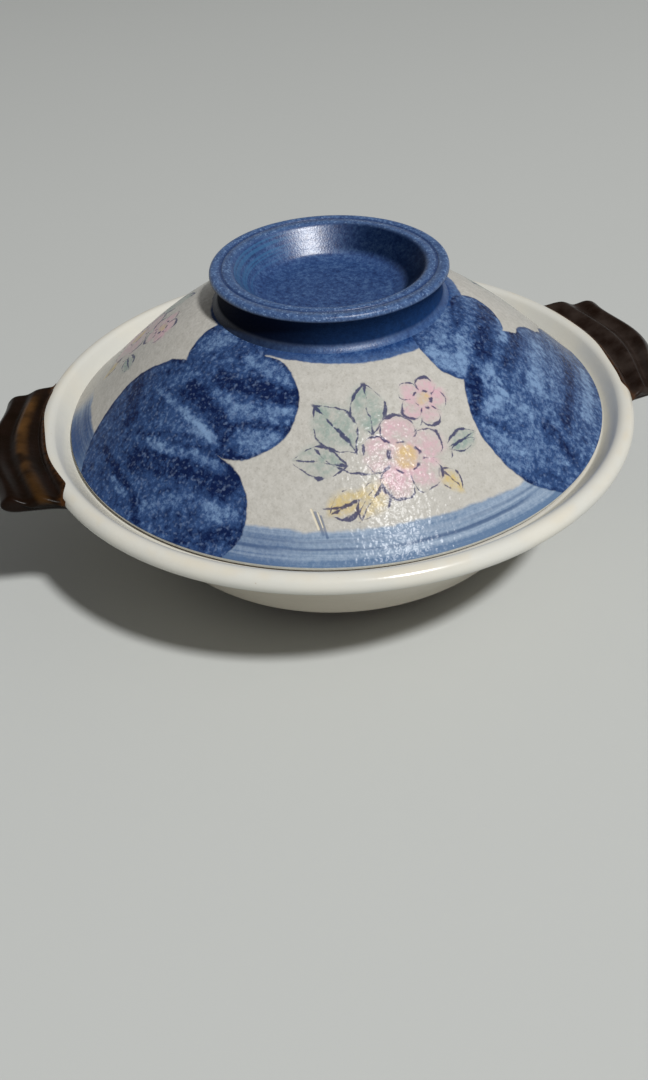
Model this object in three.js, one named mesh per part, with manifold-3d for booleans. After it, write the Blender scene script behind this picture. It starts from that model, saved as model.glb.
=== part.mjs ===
// Donabe clay pot: a wide stoneware bowl with two lug handles, and a domed lid with a cup-shaped knob.
// Millimetres, +Z up. The foot ring stands on z = 0, the pot's axis is Z and the handles lie along X.
import * as THREE from 'three';
import { mergeVertices } from 'three/addons/utils/BufferGeometryUtils.js';
import Module from 'manifold-3d';

const wasm = await Module();
wasm.setup();

// Driving dimensions: facets, and the gap between pieces that touch
const ROUND_STEPS = 56;
const CURVE_STEPS = 5;
const CLEARANCE = 0.3;
const MERGE_DISTANCE = 1e-4;

// Pot: heights are above the table, drops and rises are from the centre of the rolled lip
const RIM_RADIUS = 135;
const LIP_HEIGHT = 72;
const LIP_ROLL = 4.3;
const LIP_INNER_ANGLE = (139 * Math.PI) / 180;
const LEDGE_DROP = 3.5;
const LEDGE_OUTER = 121.3;
const LEDGE_INNER = 111.5;
const COVE_RADIUS = 122.6;
const THROAT_RADIUS = 111;
const THROAT_DROP = 11;
const SHOULDER_RADIUS = 121.5;
const SHOULDER_DROP = 10;
const WALL_RADIUS = 106.5;
const WALL_DROP = 28.5;
const HIP_RADIUS = 91;
const HIP_DROP = 49.5;
const HIP_CORNER_RADIUS = 85.4;
const HIP_CORNER_DROP = 57.1;
const BOWL_BOTTOM_RADIUS = 62;
const BOWL_BOTTOM_DROP = 65;
const INNER_WALL_RADIUS = 98.5;
const INNER_WALL_DROP = 27;
const INNER_HIP_RADIUS = 84.5;
const INNER_HIP_DROP = 45.5;
const FLOOR_CORNER_RADIUS = 75.4;
const FLOOR_RADIUS = 52;
const FLOOR_DROP = 57.5;
const FOOT_OUTER = 60;
const FOOT_INNER = 52.5;
const FOOT_RECESS = 6;

// Lid dome
const LID_RADIUS = 121;
const LID_EDGE_DROP = 0.7;
const LID_EDGE_ROLL = 2.5;
const LID_SEAT_INNER = 112.5;
const LID_THICKNESS = 6.9;
const FLARE_RADIUS = 110.3;
const FLARE_RISE = 7.3;
const CROWN_SHOULDER_RADIUS = 76;
const CROWN_SHOULDER_RISE = 47;
const CROWN_RADIUS = 48;
const CROWN_RISE = 53.9;
const INNER_FLARE_RADIUS = 93.7;
const INNER_FLARE_RISE = 14.2;
const INNER_SHOULDER_RADIUS = 62.2;
const INNER_CROWN_RADIUS = 44;

// Lid knob: a flared ring with a cup inside, its rises from the knob's base and its depths from its top
const KNOB_RADIUS = 51.9;
const KNOB_RISE = 69.5;
const KNOB_EDGE_ROLL = 1.6;
const KNOB_BASE_RADIUS = 47.4;
const WAIST_RADIUS = 46;
const WAIST_RISE = 3.1;
const NECK_RADIUS = 47.6;
const NECK_RISE = 6.2;
const RING_INNER = 42;
const CUP_DEPTH = 12.8;
const CUP_WALL_RADIUS = 32.8;
const CUP_WALL_DEPTH = 10.4;
const CUP_CORNER_RADIUS = 30.6;
const CUP_FLOOR_RADIUS = 25;

// Handles: a lug with two ridges and a valley that run along the rim, placed by how far out they are.
// Both sit a little behind the pot's middle, by the shift along Y.
const HANDLE_HALF_LENGTH = 50;
const HANDLE_SHIFT = 4;
const HANDLE_ROOT = 101;
const HANDLE_BOW_START = 112;
const HANDLE_UNDERCUT = 126.4;
const HANDLE_EDGE_START = 147;
const HANDLE_REACH = 151;
const HANDLE_BOW = 8;
const HANDLE_END_TAPER = 0.16;
const INNER_RIDGE = 139.5;
const VALLEY = 143.3;
const OUTER_RIDGE = 147.2;
const RIDGE_RISE = 3.6;
const VALLEY_RISE = 1.2;
const HANDLE_EDGE_DROP = 4.5;
const HANDLE_ROOT_DROP = 15;
const HANDLE_STEPS = 14;
const HANDLE_CURVE_STEPS = 4;

// Finishes
const creamGlaze = new THREE.MeshStandardMaterial({ color: 0xdedccb, roughness: 0.3, metalness: 0 });
const brownGlaze = new THREE.MeshStandardMaterial({ color: 0x24150d, roughness: 0.2, metalness: 0 });
const paintedGlaze = new THREE.MeshStandardMaterial({ color: 0xc4beb4, roughness: 0.35, metalness: 0 });
const blueGlaze = new THREE.MeshStandardMaterial({ color: 0x2f4a86, roughness: 0.35, metalness: 0 });

// A solid of revolution about Z from a profile of radius and height that starts and ends on the axis
function revolve(profile) {
  const geometry = new THREE.LatheGeometry(profile.getPoints(CURVE_STEPS), ROUND_STEPS);
  return geometry.rotateX(Math.PI / 2);
}

function toSolid(geometry) {
  const bare = geometry.clone();
  bare.deleteAttribute('normal');
  bare.deleteAttribute('uv');
  const merged = mergeVertices(bare, MERGE_DISTANCE);
  const corners = merged.index.array;
  const triangles = [];
  for (let i = 0; i < corners.length; i += 3) {
    const [a, b, c] = corners.slice(i, i + 3);
    if (a !== b && b !== c && c !== a) triangles.push(a, b, c);
  }
  const mesh = new wasm.Mesh({
    numProp: 3,
    vertProperties: new Float32Array(merged.attributes.position.array),
    triVerts: new Uint32Array(triangles),
  });
  return new wasm.Manifold(mesh);
}

function toGeometry(solid) {
  const mesh = solid.getMesh();
  const geometry = new THREE.BufferGeometry();
  geometry.setAttribute('position', new THREE.BufferAttribute(mesh.vertProperties, 3));
  geometry.setIndex(new THREE.BufferAttribute(mesh.triVerts, 1));
  geometry.computeVertexNormals();
  return geometry;
}

// The pot's outside, from the foot to the lip's crest, grown outwards by a gap
function drawPotOutside(profile, gap) {
  const lip = LIP_HEIGHT;
  const rollRadius = LIP_ROLL + gap;
  const rollCentre = RIM_RADIUS - LIP_ROLL;
  profile.lineTo(BOWL_BOTTOM_RADIUS + gap, lip - BOWL_BOTTOM_DROP - gap);
  profile.quadraticCurveTo(
    HIP_CORNER_RADIUS + gap, lip - HIP_CORNER_DROP - gap,
    HIP_RADIUS + gap, lip - HIP_DROP - gap,
  );
  profile.quadraticCurveTo(
    WALL_RADIUS + gap, lip - WALL_DROP - gap,
    SHOULDER_RADIUS + gap, lip - SHOULDER_DROP - gap,
  );
  profile.quadraticCurveTo(SHOULDER_RADIUS + gap, lip - rollRadius, rollCentre, lip - rollRadius);
  profile.absarc(rollCentre, lip, rollRadius, -Math.PI / 2, LIP_INNER_ANGLE, false);
}

function potProfile() {
  const lip = LIP_HEIGHT;
  const ledge = lip - LEDGE_DROP;
  const floor = lip - FLOOR_DROP;
  const profile = new THREE.Path();
  profile.moveTo(0, FOOT_RECESS);
  profile.lineTo(FOOT_INNER, FOOT_RECESS);
  profile.lineTo(FOOT_INNER, 0);
  profile.lineTo(FOOT_OUTER, 0);
  drawPotOutside(profile, 0);
  profile.quadraticCurveTo(COVE_RADIUS, ledge, LEDGE_OUTER, ledge);
  profile.lineTo(LEDGE_INNER, ledge);
  profile.lineTo(THROAT_RADIUS, lip - THROAT_DROP);
  profile.quadraticCurveTo(
    INNER_WALL_RADIUS, lip - INNER_WALL_DROP,
    INNER_HIP_RADIUS, lip - INNER_HIP_DROP,
  );
  profile.quadraticCurveTo(FLOOR_CORNER_RADIUS, floor, FLOOR_RADIUS, floor);
  profile.lineTo(0, floor);
  return profile;
}

// What a handle has to stay clear of: the pot's outside with the clearance, closed over its top
function potKeepOut() {
  const profile = new THREE.Path();
  profile.moveTo(0, 0);
  profile.lineTo(FOOT_OUTER, 0);
  drawPotOutside(profile, CLEARANCE);
  profile.lineTo(0, LIP_HEIGHT + LIP_ROLL);
  return toSolid(revolve(profile));
}

function domeProfile() {
  const lip = LIP_HEIGHT;
  const seat = lip - LEDGE_DROP + CLEARANCE;
  const crown = lip + CROWN_RISE;
  const innerCrown = crown - LID_THICKNESS;
  const profile = new THREE.Path();
  profile.moveTo(0, innerCrown);
  profile.lineTo(INNER_CROWN_RADIUS, innerCrown);
  profile.bezierCurveTo(
    INNER_SHOULDER_RADIUS, innerCrown,
    INNER_FLARE_RADIUS, lip + INNER_FLARE_RISE,
    LID_SEAT_INNER, seat,
  );
  profile.lineTo(LID_RADIUS - LID_EDGE_ROLL, seat);
  profile.quadraticCurveTo(LID_RADIUS, seat, LID_RADIUS, lip - LID_EDGE_DROP);
  profile.bezierCurveTo(
    FLARE_RADIUS, lip + FLARE_RISE,
    CROWN_SHOULDER_RADIUS, lip + CROWN_SHOULDER_RISE,
    CROWN_RADIUS, crown,
  );
  profile.lineTo(0, crown);
  return profile;
}

function knobProfile() {
  const base = LIP_HEIGHT + CROWN_RISE + CLEARANCE;
  const top = LIP_HEIGHT + KNOB_RISE;
  const cup = top - CUP_DEPTH;
  const profile = new THREE.Path();
  profile.moveTo(0, base);
  profile.lineTo(KNOB_BASE_RADIUS, base);
  profile.bezierCurveTo(
    WAIST_RADIUS, base + WAIST_RISE,
    NECK_RADIUS, base + NECK_RISE,
    KNOB_RADIUS, top - KNOB_EDGE_ROLL,
  );
  profile.quadraticCurveTo(KNOB_RADIUS, top, KNOB_RADIUS - KNOB_EDGE_ROLL, top);
  profile.lineTo(RING_INNER, top);
  profile.lineTo(CUP_WALL_RADIUS, top - CUP_WALL_DEPTH);
  profile.quadraticCurveTo(CUP_CORNER_RADIUS, cup, CUP_FLOOR_RADIUS, cup);
  profile.lineTo(0, cup);
  return profile;
}

// A handle's section across the lug: x runs outwards from the pot's axis and y is the height
function handleSection() {
  const lip = LIP_HEIGHT;
  const section = new THREE.Shape();
  section.moveTo(HANDLE_ROOT, lip - HANDLE_ROOT_DROP);
  section.lineTo(HANDLE_UNDERCUT, lip - HANDLE_ROOT_DROP);
  section.quadraticCurveTo(RIM_RADIUS, lip - HANDLE_EDGE_DROP, HANDLE_EDGE_START, lip - HANDLE_EDGE_DROP);
  section.quadraticCurveTo(HANDLE_REACH, lip - HANDLE_EDGE_DROP, HANDLE_REACH, lip);
  section.splineThru([
    new THREE.Vector2(OUTER_RIDGE, lip + RIDGE_RISE),
    new THREE.Vector2(VALLEY, lip + VALLEY_RISE),
    new THREE.Vector2(INNER_RIDGE, lip + RIDGE_RISE),
    new THREE.Vector2(RIM_RADIUS, lip + VALLEY_RISE),
  ]);
  section.lineTo(HANDLE_ROOT, lip + VALLEY_RISE);
  return section;
}

// The section is run along the rim, its middle bowed outwards and its ends drawn in towards the edge
function handleGeometry(side) {
  const length = 2 * HANDLE_HALF_LENGTH;
  const lug = new THREE.ExtrudeGeometry(handleSection(), {
    depth: length,
    steps: HANDLE_STEPS,
    curveSegments: HANDLE_CURVE_STEPS,
    bevelEnabled: false,
  });
  lug.rotateX(Math.PI / 2);
  lug.translate(0, HANDLE_HALF_LENGTH, 0);
  const position = lug.attributes.position;
  for (let i = 0; i < position.count; i++) {
    const along = position.getY(i) / HANDLE_HALF_LENGTH;
    const out = THREE.MathUtils.smoothstep(position.getX(i), HANDLE_BOW_START, HANDLE_REACH);
    const bow = HANDLE_BOW * Math.cos((along * Math.PI) / 2) ** 2;
    position.setX(i, position.getX(i) + bow * out);
    position.setY(i, position.getY(i) * (1 - HANDLE_END_TAPER * out));
  }
  if (side < 0) lug.rotateZ(Math.PI);
  lug.translate(0, HANDLE_SHIFT, 0);
  return toGeometry(toSolid(lug).subtract(potKeepOut()));
}

function piece(name, geometry, material) {
  const mesh = new THREE.Mesh(geometry, material);
  mesh.name = name;
  return mesh;
}

const pot = new THREE.Group();
pot.add(piece('pot_body', revolve(potProfile()), creamGlaze));
pot.add(piece('right_handle', handleGeometry(1), brownGlaze));
pot.add(piece('left_handle', handleGeometry(-1), brownGlaze.clone()));

const lid = new THREE.Group();
lid.add(piece('lid_dome', revolve(domeProfile()), paintedGlaze));
lid.add(piece('lid_knob', revolve(knobProfile()), blueGlaze));

const donabe = new THREE.Group();
donabe.add(pot, lid);

export default donabe;
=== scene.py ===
import functools
import math

import bmesh
import bpy
import numpy as np
from mathutils import Matrix, Vector


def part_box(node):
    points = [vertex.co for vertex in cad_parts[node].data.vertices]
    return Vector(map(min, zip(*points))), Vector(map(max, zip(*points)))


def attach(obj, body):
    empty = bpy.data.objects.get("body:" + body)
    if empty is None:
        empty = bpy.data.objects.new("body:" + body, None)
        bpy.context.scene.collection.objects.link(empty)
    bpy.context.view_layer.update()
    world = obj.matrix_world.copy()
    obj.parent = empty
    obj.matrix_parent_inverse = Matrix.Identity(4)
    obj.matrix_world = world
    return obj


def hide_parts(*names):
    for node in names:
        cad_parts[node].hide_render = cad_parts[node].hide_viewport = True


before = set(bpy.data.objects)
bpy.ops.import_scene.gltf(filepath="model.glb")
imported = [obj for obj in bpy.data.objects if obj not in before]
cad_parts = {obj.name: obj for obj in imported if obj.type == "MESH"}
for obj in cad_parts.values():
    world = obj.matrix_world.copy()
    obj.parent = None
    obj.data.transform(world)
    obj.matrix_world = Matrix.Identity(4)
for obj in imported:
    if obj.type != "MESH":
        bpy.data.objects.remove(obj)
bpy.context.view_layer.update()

# Looks of a donabe clay pot: five fired-clay pieces as fine meshes with painted glazes, in a plain studio.
# Metres, +Z up. The foot stands on z = 0, the pot's axis is Z and the handles lie along X.

MM = 0.001

# Sizes taken from the parts in model.glb
RIM_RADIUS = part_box("pot_body")[1].x
LID_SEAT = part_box("lid_dome")[0].z
KNOB_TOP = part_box("lid_knob")[1].z
HANDLE_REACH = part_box("right_handle")[1].x

# Height of the rolled lip's centre above the table: the lid's seat lies just below it
SEAT_DROP = 3.2 * MM
LIP_HEIGHT = LID_SEAT + SEAT_DROP

# Mesh fineness: steps round the pot, and along a long curve, a bend and a rounded edge of a profile
ROUND_STEPS = 320
CURVE_STEPS = 44
BEND_STEPS = 10
EDGE_STEPS = 4
SAME_POINT = 0.001 * MM

# Hand-thrown unevenness: the share by which the radius wanders in two lobes, how much of that it wanders in
# three as well, the turn in radians at which each piece starts, and the finger rings inside
WOBBLE = 0.0012
WOBBLE_IN_THREE = 0.6
BOWL_PHASE = 0.4
LID_PHASE = 1.3
RING_DEPTH = 0.14 * MM
RING_SPACING = 6.5 * MM


def at(radius, rise):
    """A profile point: its radius, and its rise from the lip's centre, in millimetres."""
    return np.array((radius * MM, LIP_HEIGHT + rise * MM))


# Pot profile
FOOT_RECESS = 6 * MM
FOOT_INNER = 52.5 * MM
FOOT_OUTER = 60 * MM
FOOT_ROUND = 1.2 * MM
BOWL_BOTTOM = at(62, -65)
HIP_CORNER = at(85.4, -57.1)
HIP = at(91, -49.5)
WALL = at(106.5, -28.5)
SHOULDER = at(121.5, -10)
LIP_ROLL = 4.3 * MM
LIP_CENTRE = np.array((RIM_RADIUS - LIP_ROLL, LIP_HEIGHT))
LIP_INNER_ANGLE = 139
LEDGE_RISE = -3.5
COVE = at(122.6, LEDGE_RISE)
LEDGE_OUTER = at(121.3, LEDGE_RISE)
LEDGE_INNER = at(111.5, LEDGE_RISE)
LEDGE_ROUND = 1.0 * MM
THROAT = at(111, -11)
INNER_WALL = at(98.5, -27)
INNER_HIP = at(84.5, -45.5)
FLOOR_RISE = -57.5
FLOOR_CORNER = at(75.4, FLOOR_RISE)
FLOOR_EDGE = at(52, FLOOR_RISE)

# Lid profile: the clay is bare on the seat and a little above it
INNER_CROWN_RISE = 47
INNER_CROWN = at(44, INNER_CROWN_RISE)
INNER_SHOULDER = at(62.2, INNER_CROWN_RISE)
INNER_FLARE = at(93.7, 14.2)
SEAT_RISE = -SEAT_DROP / MM
SEAT_INNER = at(112.5, SEAT_RISE)
SEAT_OUTER = at(118.5, SEAT_RISE)
SEAT_BARE = 0.5 * MM
LID_CORNER = at(121, SEAT_RISE)
LID_EDGE = at(121, -0.7)
FLARE = at(110.3, 7.3)
CROWN_SHOULDER = at(76, 47)
CROWN = at(48, 53.9)

# Knob profile: its foot flows out over the dome, and a sloping-sided cup is sunk in its top
KNOB_RISE = (KNOB_TOP - LIP_HEIGHT) / MM
KNOB_FOOT_RADIUS = 52.8 * MM
KNOB_FOOT_SINK = 0.2 * MM
KNOB_COVE = at(50.2, 53.4)
KNOB_WAIST = at(49.2, 55.6)
KNOB_NECK = at(47.6, 60.8)
KNOB_LEAN = at(50.2, 64.6)
KNOB_EDGE = at(51.9, 67.2)
KNOB_CORNER = at(51.9, KNOB_RISE)
RING_OUTER = at(50.0, KNOB_RISE)
GROOVE_RADIUS = 46.8 * MM
GROOVE_HALF_WIDTH = 0.7 * MM
GROOVE_DEPTH = 0.45 * MM
RING_INNER_RISE = KNOB_RISE - 0.1
RING_INNER = at(44, RING_INNER_RISE)
CUP_BRIM = at(42.3, RING_INNER_RISE)
CUP_LIP = at(41.2, 68.2)
CUP_HIP = at(32.9, 58.9)
CUP_FLOOR_RISE = 56.7
CUP_CORNER = at(30.9, CUP_FLOOR_RISE)
CUP_FLOOR = at(25, CUP_FLOOR_RISE)
CUP_RING_DEPTH = 0.03 * MM
CUP_RING_SPACING = 4.2 * MM

# Handles: inner edges lap over the lip, outer edges bow outwards, and both sit a little behind the middle
HANDLE_SHIFT = 4 * MM
HANDLE_HALF_ROOT = 49 * MM
HANDLE_HALF_EDGE = 42 * MM
HANDLE_BOW = 8.5 * MM
HANDLE_SKEW = 3.2 * MM
HANDLE_END_ROUND = 2.6 * MM
HANDLE_EDGE_ROUND = 4.2 * MM
HANDLE_UNDER_RADIUS = 116 * MM
HANDLE_UNDER_RISE = -15 * MM
HANDLE_UNDER_SHARE = 0.6
HANDLE_BOTTOM_RISE = -4.6 * MM
HANDLE_TIP_RISE = -0.9 * MM
HANDLE_SKIN = 0.3 * MM
HANDLE_SKIN_START = 1.2 * MM
HANDLE_STATIONS = 110
HANDLE_END_STATIONS = 7
HANDLE_ACROSS = 76

# Radius where a handle's lap over the lip starts: at the front, at the back and at both ends
LAP_NEAR = 130.3 * MM
LAP_FAR = 132.7 * MM
LAP_WAVE = 0.4 * MM
LAP_WAVE_RATE = 7
LAP_END = 134.7 * MM
LAP_END_START = 0.78

# Top of the handle, from the rim to the outer edge: share of the way out, and rise in millimetres
HANDLE_TOP = ((0.0, 1.9), (0.34, 4.1), (0.56, 1.8), (0.80, 3.9), (1.0, 2.4))
# Its ridges sink at both ends, wander along it and, by side, flatten out towards the back
RIDGE_END_LOSS = 0.12
RIDGE_WANDER = 0.07
RIDGE_WANDER_RATE = 4.3
RIDGE_MEAN_RISE = 2.9 * MM
RIDGE_BACK_SHARE = 0.45
RIDGE_BACK_LOSS = {1: 0.0, -1: 0.55}
# Where the glaze breaks, by rise and by share of the way out, and how far from the lap it runs thin
CREST_LOW = 2.6 * MM
CREST_HIGH = 4.0 * MM
CREST_START = 0.05
CREST_END = 0.62
THIN_REACH = 3.4 * MM

# Camera of the photograph: its stand-off and height over the lip's centre plane, and its aim in degrees
IMAGE_SIZE = (648, 1080)
FOCAL_PIXELS = 1188.06
PRINCIPAL_PIXEL = (324.0, 423.5)
SENSOR = 36.0
CAMERA_TURN = -14.0
CAMERA_REACH = 469.05 * MM
CAMERA_RISE = 288.1 * MM
CAMERA_PAN = -0.68
CAMERA_TILT = 32.74
CAMERA_ROLL = -2.94

# Studio: the key lamp's bearing and elevation in degrees, distances in metres, powers in watts
KEY_BEARING = -72.0
KEY_ELEVATION = 54.0
KEY_DISTANCE = 5.0
KEY_SIZE = 0.42
KEY_POWER = 243.0
FLOOR_RADIUS = 7.0
FLOOR_STEPS = 96

# Brightness of the world low and high, and how far up a view it changes: as light, and as seen or mirrored
WORLD_LOW = 0.06
WORLD_HIGH = 0.21
WORLD_RISE = (0.0, 0.6)
BACKDROP_LOW = 0.45
BACKDROP_HIGH = 0.10
BACKDROP_RISE = (0.1, 0.4)
SEEN_RAYS = ("Is Camera Ray", "Is Glossy Ray", "Is Transmission Ray")


def srgb(red, green, blue):
    """A colour given as 8-bit sRGB, as linear RGBA."""
    def linear(channel):
        share = channel / 255
        return share / 12.92 if share <= 0.04045 else ((share + 0.055) / 1.055) ** 2.4
    return (linear(red), linear(green), linear(blue), 1.0)


# Colours
CREAM = srgb(210, 207, 196)
CREAM_WARM = srgb(208, 197, 174)
CREAM_COOL = srgb(206, 205, 197)
CLAY = srgb(118, 86, 60)
CLAY_DARK = srgb(84, 58, 40)
IRON_SPECK = srgb(150, 120, 90)
CREAM_BOUNCE_LIGHT = srgb(214, 206, 190)
BROWN = srgb(18, 9, 3)
BROWN_AMBER = srgb(110, 76, 38)
BROWN_VALLEY = srgb(26, 15, 9)
BROWN_SHEEN_GREY = srgb(50, 41, 36)
BROWN_THIN = srgb(80, 50, 24)
GROUND = srgb(169, 166, 158)
GROUND_PALE = srgb(194, 191, 184)
GROUND_SPECK = srgb(150, 145, 136)
BLUE_DARK = srgb(15, 29, 66)
BLUE_MID = srgb(50, 75, 118)
BLUE_LIGHT = srgb(116, 143, 178)
BLUE_SPECK = srgb(134, 154, 186)
BAND_BLUE = srgb(93, 116, 145)
BAND_PALE = srgb(158, 173, 190)
BAND_LINE = srgb(62, 84, 118)
KNOB_RING = srgb(67, 96, 138)
KNOB_BLUE = srgb(37, 67, 116)
KNOB_DARK = srgb(19, 44, 90)
KNOB_TEAL = srgb(46, 97, 140)
# The knob wall's navy also serves as painted shade, and its lit copy as painted light
KNOB_WALL_SHADE = srgb(4, 9, 26)
KNOB_WALL_PAINTED_LIT = srgb(24, 56, 104)
RING_LIGHT = srgb(89, 119, 162)
RING_SPECK = srgb(132, 159, 196)
NAVY = srgb(32, 36, 84)
WASH_GREEN = srgb(120, 144, 136)
WASH_PINK = srgb(204, 162, 174)
WASH_YELLOW = srgb(198, 174, 106)
SCAR_PALE = srgb(218, 208, 184)
FLOOR_GREY = srgb(188, 190, 187)
FLOOR_SHADE = srgb(176, 178, 175)


# Profiles

def cubic(start, first, second, end, steps=CURVE_STEPS):
    share = np.linspace(0, 1, steps + 1)[:, None]
    back = 1 - share
    return back**3 * start + 3 * back**2 * share * first + 3 * back * share**2 * second + share**3 * end


def bend(start, corner, end, steps=BEND_STEPS):
    share = np.linspace(0, 1, steps + 1)[:, None]
    back = 1 - share
    return back**2 * np.asarray(start) + 2 * back * share * np.asarray(corner) + share**2 * np.asarray(end)


def arc(centre, radius, first_degrees, last_degrees, steps=CURVE_STEPS):
    angle = np.radians(np.linspace(first_degrees, last_degrees, steps + 1))
    return centre + radius * np.stack((np.cos(angle), np.sin(angle)), axis=1)


def line(start, end, steps=BEND_STEPS):
    return np.linspace(start, end, steps + 1)


def rounded(corners, radius):
    """A polyline whose inner corners are rounded off."""
    corners = [np.asarray(corner, float) for corner in corners]
    points = [corners[0][None]]
    for before, corner, after in zip(corners, corners[1:], corners[2:]):
        enter = corner + (before - corner) * (radius / np.linalg.norm(before - corner))
        leave = corner + (after - corner) * (radius / np.linalg.norm(after - corner))
        points.append(bend(enter, corner, leave, EDGE_STEPS))
    points.append(corners[-1][None])
    return np.concatenate(points)


def join(*parts):
    """One profile from several stretches, without repeated points."""
    points = np.concatenate(parts)
    keep = np.ones(len(points), bool)
    keep[1:] = np.linalg.norm(np.diff(points, axis=0), axis=1) > SAME_POINT
    return points[keep]


def rippled(points, depth, spacing):
    """Shallow finger rings along a stretch of profile, square to it and fading out at its ends."""
    steps = np.gradient(points, axis=0)
    lengths = np.linalg.norm(steps, axis=1)
    square = np.stack((-steps[:, 1], steps[:, 0]), axis=1) / lengths[:, None]
    run = np.cumsum(lengths)
    fade = np.sin(np.pi * (run - run[0]) / (run[-1] - run[0]))
    return points + square * (depth * fade * np.sin(2 * np.pi * run / spacing))[:, None]


def pot_profile():
    foot = rounded(
        [(0, FOOT_RECESS), (FOOT_INNER, FOOT_RECESS), (FOOT_INNER, 0), (FOOT_OUTER, 0), BOWL_BOTTOM],
        FOOT_ROUND,
    )
    hip = bend(BOWL_BOTTOM, HIP_CORNER, HIP, CURVE_STEPS)
    wall = bend(HIP, WALL, SHOULDER, CURVE_STEPS)
    under_lip = LIP_CENTRE - (0, LIP_ROLL)
    neck = bend(SHOULDER, np.array((SHOULDER[0], under_lip[1])), under_lip)
    lip = arc(LIP_CENTRE, LIP_ROLL, -90, LIP_INNER_ANGLE)
    cove = bend(lip[-1], COVE, LEDGE_OUTER)
    ledge = rounded([LEDGE_OUTER, LEDGE_INNER, THROAT], LEDGE_ROUND)
    inner_wall = bend(THROAT, INNER_WALL, INNER_HIP, CURVE_STEPS)
    bowl = join(inner_wall, bend(INNER_HIP, FLOOR_CORNER, FLOOR_EDGE, CURVE_STEPS))
    floor = line(FLOOR_EDGE, (0, FLOOR_EDGE[1]))
    return join(foot, hip, wall, neck, lip, cove, ledge, rippled(bowl, RING_DEPTH, RING_SPACING), floor)


def lid_outside():
    return cubic(LID_EDGE, FLARE, CROWN_SHOULDER, CROWN, 2 * CURVE_STEPS)


def lid_inside():
    crown = line((0, INNER_CROWN[1]), INNER_CROWN)
    dome = rippled(cubic(INNER_CROWN, INNER_SHOULDER, INNER_FLARE, SEAT_INNER), RING_DEPTH, RING_SPACING)
    edge = bend(SEAT_OUTER, LID_CORNER, LID_EDGE)
    return join(crown, dome, line(SEAT_INNER, SEAT_OUTER), edge[:-1])


def lid_profile():
    return join(lid_inside(), lid_outside(), line(CROWN, (0, CROWN[1])))


def dome_height(radius):
    """How high the lid's outside is at a radius."""
    outside = lid_outside()[::-1]
    return float(np.interp(radius, outside[:, 0], outside[:, 1]))


def knob_profile():
    foot = np.array((KNOB_FOOT_RADIUS, dome_height(KNOB_FOOT_RADIUS) - KNOB_FOOT_SINK))
    bottom = line((0, foot[1]), foot)
    cove = bend(foot, KNOB_COVE, KNOB_WAIST, CURVE_STEPS)
    wall = cubic(KNOB_WAIST, KNOB_NECK, KNOB_LEAN, KNOB_EDGE)
    edge = bend(KNOB_EDGE, KNOB_CORNER, RING_OUTER)
    groove = bend(
        (GROOVE_RADIUS + GROOVE_HALF_WIDTH, RING_OUTER[1]),
        (GROOVE_RADIUS, RING_OUTER[1] - 2 * GROOVE_DEPTH),
        (GROOVE_RADIUS - GROOVE_HALF_WIDTH, RING_OUTER[1]),
    )
    lip = bend(RING_INNER, CUP_BRIM, CUP_LIP)
    side = line(CUP_LIP, CUP_HIP, CURVE_STEPS)
    corner = bend(CUP_HIP, CUP_CORNER, CUP_FLOOR, CURVE_STEPS)
    floor = line(CUP_FLOOR, (0, CUP_FLOOR[1]), CURVE_STEPS)
    cup = rippled(join(side, corner, floor), CUP_RING_DEPTH, CUP_RING_SPACING)
    return join(bottom, cove, wall, edge, groove, lip, cup)


# Meshes

def make_mesh(name, vertices, faces, material):
    mesh = bpy.data.meshes.new(name)
    mesh.from_pydata([tuple(vertex) for vertex in vertices], [], faces)
    working = bmesh.new()
    working.from_mesh(mesh)
    bmesh.ops.recalc_face_normals(working, faces=working.faces)
    working.to_mesh(mesh)
    working.free()
    mesh.polygons.foreach_set("use_smooth", [True] * len(mesh.polygons))
    mesh.materials.append(material)
    thing = bpy.data.objects.new(name, mesh)
    bpy.context.scene.collection.objects.link(thing)
    return thing


def mark(thing, name, values):
    """A number on each vertex, for the material to read."""
    attribute = thing.data.attributes.new(name, "FLOAT", "POINT")
    attribute.data.foreach_set("value", np.asarray(values, np.float32))


def wobble(angles, phase):
    """How much wider or narrower a hand-thrown piece is at each bearing."""
    return 1 + WOBBLE * (np.sin(2 * angles + phase) + WOBBLE_IN_THREE * np.sin(3 * angles + 2 * phase))


def lathe(name, profile, material, phase):
    """A profile that starts and ends on the axis, turned about Z with a slight hand-thrown wobble."""
    angles = np.arange(ROUND_STEPS) * (2 * np.pi / ROUND_STEPS)
    uneven = wobble(angles, phase)
    rings = profile[1:-1]
    x = rings[:, :1] * (uneven * np.cos(angles))[None]
    y = rings[:, :1] * (uneven * np.sin(angles))[None]
    z = np.repeat(rings[:, 1:], ROUND_STEPS, axis=1)
    vertices = np.stack((x, y, z), axis=2).reshape(-1, 3)
    low_pole = len(vertices)
    high_pole = low_pole + 1
    poles = [(0, 0, profile[0][1]), (0, 0, profile[-1][1])]
    last = (len(rings) - 1) * ROUND_STEPS
    faces = []
    for step in range(ROUND_STEPS):
        after = (step + 1) % ROUND_STEPS
        faces.append((low_pole, after, step))
        faces.append((high_pole, last + step, last + after))
        for row in range(0, last, ROUND_STEPS):
            faces.append((row + step, row + after, row + ROUND_STEPS + after, row + ROUND_STEPS + step))
    return make_mesh(name, np.concatenate((vertices, poles)), faces, material)


def ease(share):
    share = np.clip(share, 0, 1)
    return share * share * (3 - 2 * share)


def eased_curve(knots, shares):
    """Heights between knots, level at each knot, so that knots become ridges and valleys."""
    places = [place for place, height in knots]
    heights = [height for place, height in knots]
    index = np.clip(np.searchsorted(places, shares, "right") - 1, 0, len(knots) - 2)
    start = np.take(places, index)
    end = np.take(places, index + 1)
    low = np.take(heights, index)
    return low + (np.take(heights, index + 1) - low) * ease((shares - start) / (end - start))


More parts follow.
